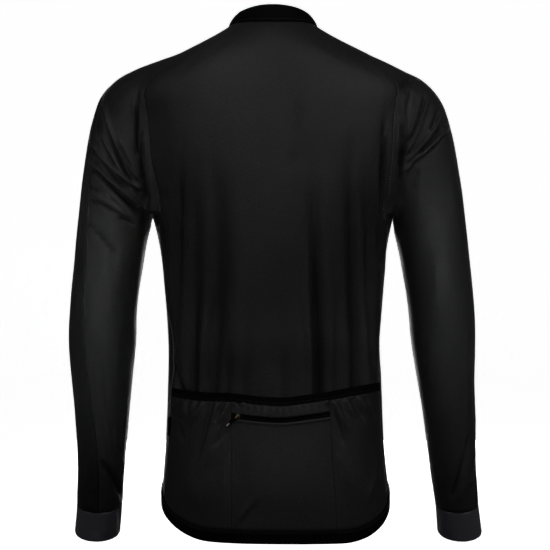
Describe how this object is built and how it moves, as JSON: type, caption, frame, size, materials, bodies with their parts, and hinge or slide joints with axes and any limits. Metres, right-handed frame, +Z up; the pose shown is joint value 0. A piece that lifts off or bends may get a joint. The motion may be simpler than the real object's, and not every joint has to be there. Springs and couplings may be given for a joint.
{
  "type": "cycling jacket",
  "caption": "Close-fitting long-sleeved cycling jacket in its worn shape, with a stand collar, a front zip, a dropped back hem and pockets across the lower back.",
  "frame": {"origin": "middle of the neck opening, level with the points where the neck seam meets the shoulders", "axes": "+Z up the body, +Y out of the chest and zip, +X towards the wearer's right"},
  "size_m": [0.5766, 0.2434, 0.741],
  "materials": {
    "cloth": "black stretch knit with a soft sheen",
    "cuff": "smooth dark grey stretch cloth",
    "trim": "plain black elastic",
    "zip": "black woven tape and coil",
    "piping": "light grey piping",
    "slider": "worn brass",
    "puller": "black, moulded"
  },
  "bodies": {
    "garment": {"back_panel": "cloth", "front_left": "cloth", "front_right": "cloth", "side_panel_left": "cloth", "side_panel_right": "cloth", "sleeve_back_left": "cloth", "sleeve_back_right": "cloth", "sleeve_outer_left": "cloth", "sleeve_outer_right": "cloth", "cuff_left": "cuff", "cuff_right": "cuff", "collar": "trim", "hem_band": "trim", "pocket_band": "trim", "pocket_left": "cloth", "pocket_centre": "cloth", "pocket_right": "cloth", "pocket_strip": "cloth", "pocket_zip_tape": "zip", "side_tab": "trim", "piping_left": "piping", "piping_right": "piping", "front_zip": "zip", "front_zip_slider": "slider", "pocket_zip_slider": "slider"},
    "front_pull": {"front_zip_pull": "puller"},
    "pocket_pull": {"pocket_zip_pull": "puller"}
  },
  "joints": [
    {"name": "front_pull_swing", "type": "hinge", "parent": "garment", "child": "front_pull", "pos_m": [0, 0.06633, -0.03306], "axis": [1, 0, 0], "range_deg": [0, 150]},
    {"name": "pocket_pull_swing", "type": "hinge", "parent": "garment", "child": "pocket_pull", "pos_m": [-0.04745, -0.11028, -0.52939], "axis": [-0.6571, 0.2011, 0.7265], "range_deg": [0, 100]}
  ]
}
